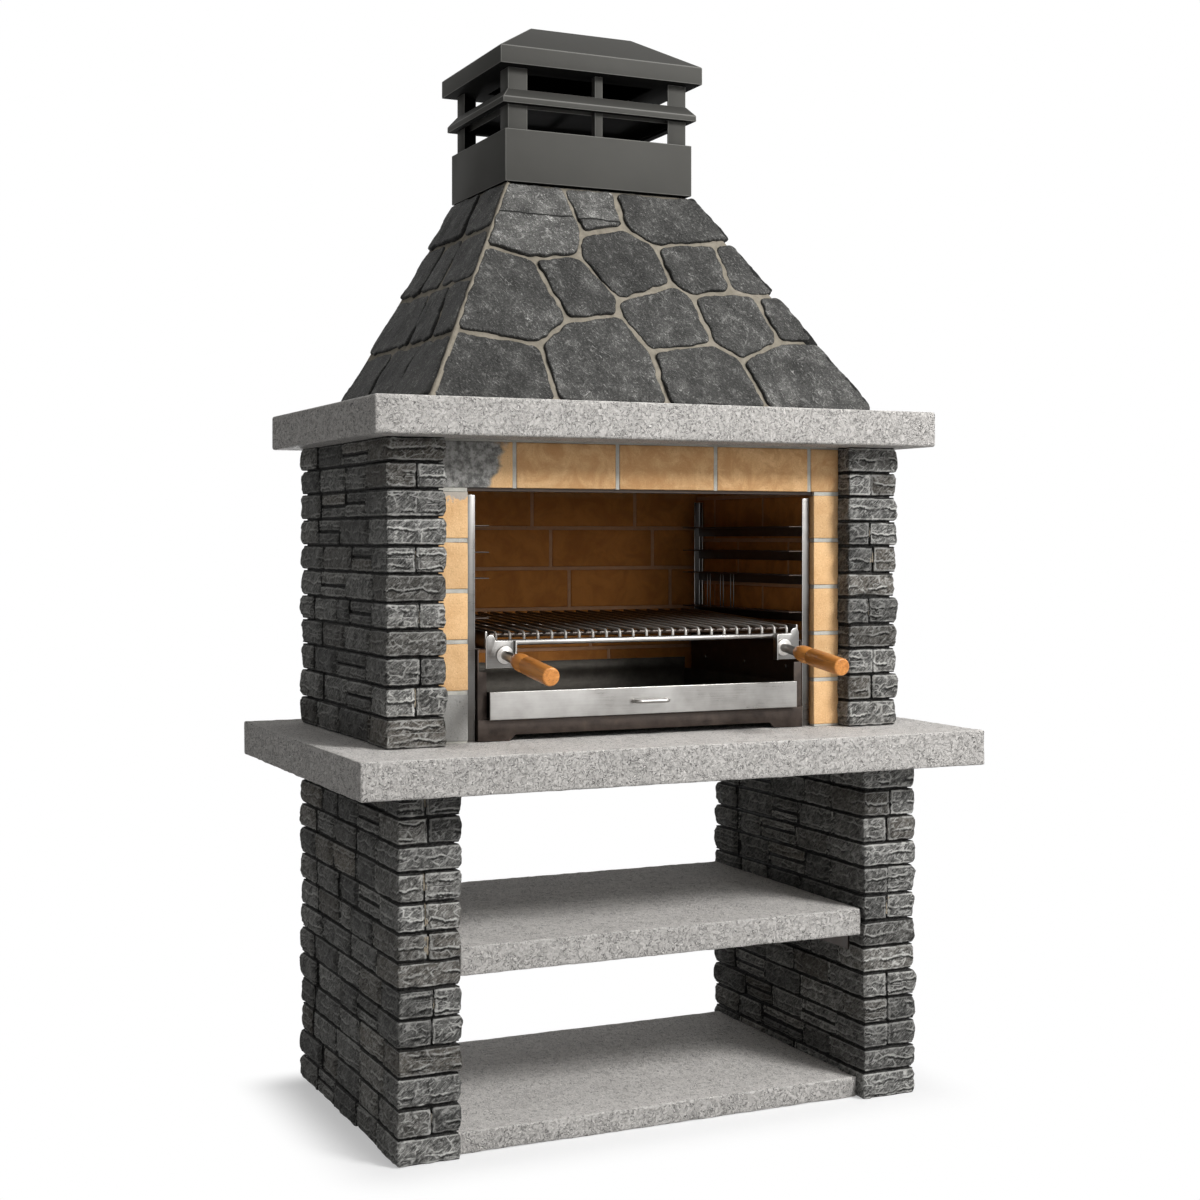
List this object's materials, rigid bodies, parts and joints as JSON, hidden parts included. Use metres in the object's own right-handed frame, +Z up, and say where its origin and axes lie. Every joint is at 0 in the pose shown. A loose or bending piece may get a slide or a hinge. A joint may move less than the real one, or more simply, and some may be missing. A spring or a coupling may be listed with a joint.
{
  "type": "masonry barbecue",
  "caption": "Free-standing masonry barbecue: stone-clad piers, cast slabs, firebrick hearth with sliding grill and ember tray, slate-clad hood and metal chimney cowl.",
  "frame": {"origin": "on the ground, below the centre of the worktop", "axes": "+X to the right as seen by the cook, -Y to the front, +Z up"},
  "size_m": [1.4, 0.892, 2.351],
  "materials": {
    "aggregate_slab": "cast slab with exposed pale and dark aggregate",
    "split_stone": "split-face anthracite stone",
    "slate": "riven dark slate",
    "mortar": "brushed mortar",
    "concrete": "cast grey concrete",
    "firebrick": "buff refractory brick",
    "chimney_metal": "satin anthracite coating",
    "dark_steel": "heat-darkened steel",
    "stainless": "brushed stainless steel",
    "plain_steel": "plain zinc-coated steel",
    "turned_wood": "oiled turned wood"
  },
  "bodies": {
    "masonry": {"back_brick_slips": "firebrick", "base_slab": "aggregate_slab", "chimney_collar": "chimney_metal", "cowl_band": "chimney_metal", "cowl_cap": "chimney_metal", "cowl_mullions": "chimney_metal", "cowl_posts": "chimney_metal", "front_base_rail": "dark_steel", "hearth_back_panel": "concrete", "hearth_mortar": "mortar", "hood_back_panel": "concrete", "hood_front_panel": "concrete", "hood_front_slates": "slate", "hood_left_panel": "concrete", "hood_left_slates": "slate", "hood_mortar": "mortar", "hood_right_panel": "concrete", "hood_right_slates": "slate", "left_firebricks": "firebrick", "left_foot_block": "concrete", "left_ledges": "dark_steel", "left_lower_core": "concrete", "left_lower_stones": "split_stone", "left_side_plate": "dark_steel", "left_upper_core": "concrete", "left_upper_stones": "split_stone", "lintel_bar": "plain_steel", "lintel_bearing_block": "concrete", "lintel_bricks": "firebrick", "mantel": "aggregate_slab", "middle_shelf": "aggregate_slab", "rack_posts": "stainless", "rack_rivets": "stainless", "rack_stays": "stainless", "rear_base_rail": "dark_steel", "right_firebricks": "firebrick", "right_ledges": "dark_steel", "right_lower_core": "concrete", "right_lower_stones": "split_stone", "right_side_plate": "dark_steel", "right_upper_core": "concrete", "right_upper_stones": "split_stone", "shelf_anchors": "plain_steel", "shelf_ledgers": "plain_steel", "tray_runners": "dark_steel", "worktop": "aggregate_slab"},
    "tray": {"tray_pan": "plain_steel", "tray_front_panel": "stainless", "tray_handle": "stainless"},
    "grill": {"grill_front_bar": "stainless", "grill_cross_bars": "stainless", "grill_rods": "stainless", "left_grill_side": "stainless", "right_grill_side": "stainless", "left_handle_bracket": "stainless", "right_handle_bracket": "stainless", "left_handle_shank": "stainless", "right_handle_shank": "stainless", "left_grip": "turned_wood", "right_grip": "turned_wood"}
  },
  "joints": [
    {"name": "tray_slide", "type": "slide", "parent": "masonry", "child": "tray", "axis": [0, -1, 0], "range_m": [0, 0.42]},
    {"name": "grill_slide", "type": "slide", "parent": "masonry", "child": "grill", "axis": [0, -1, 0], "range_m": [0, 0.42]}
  ]
}
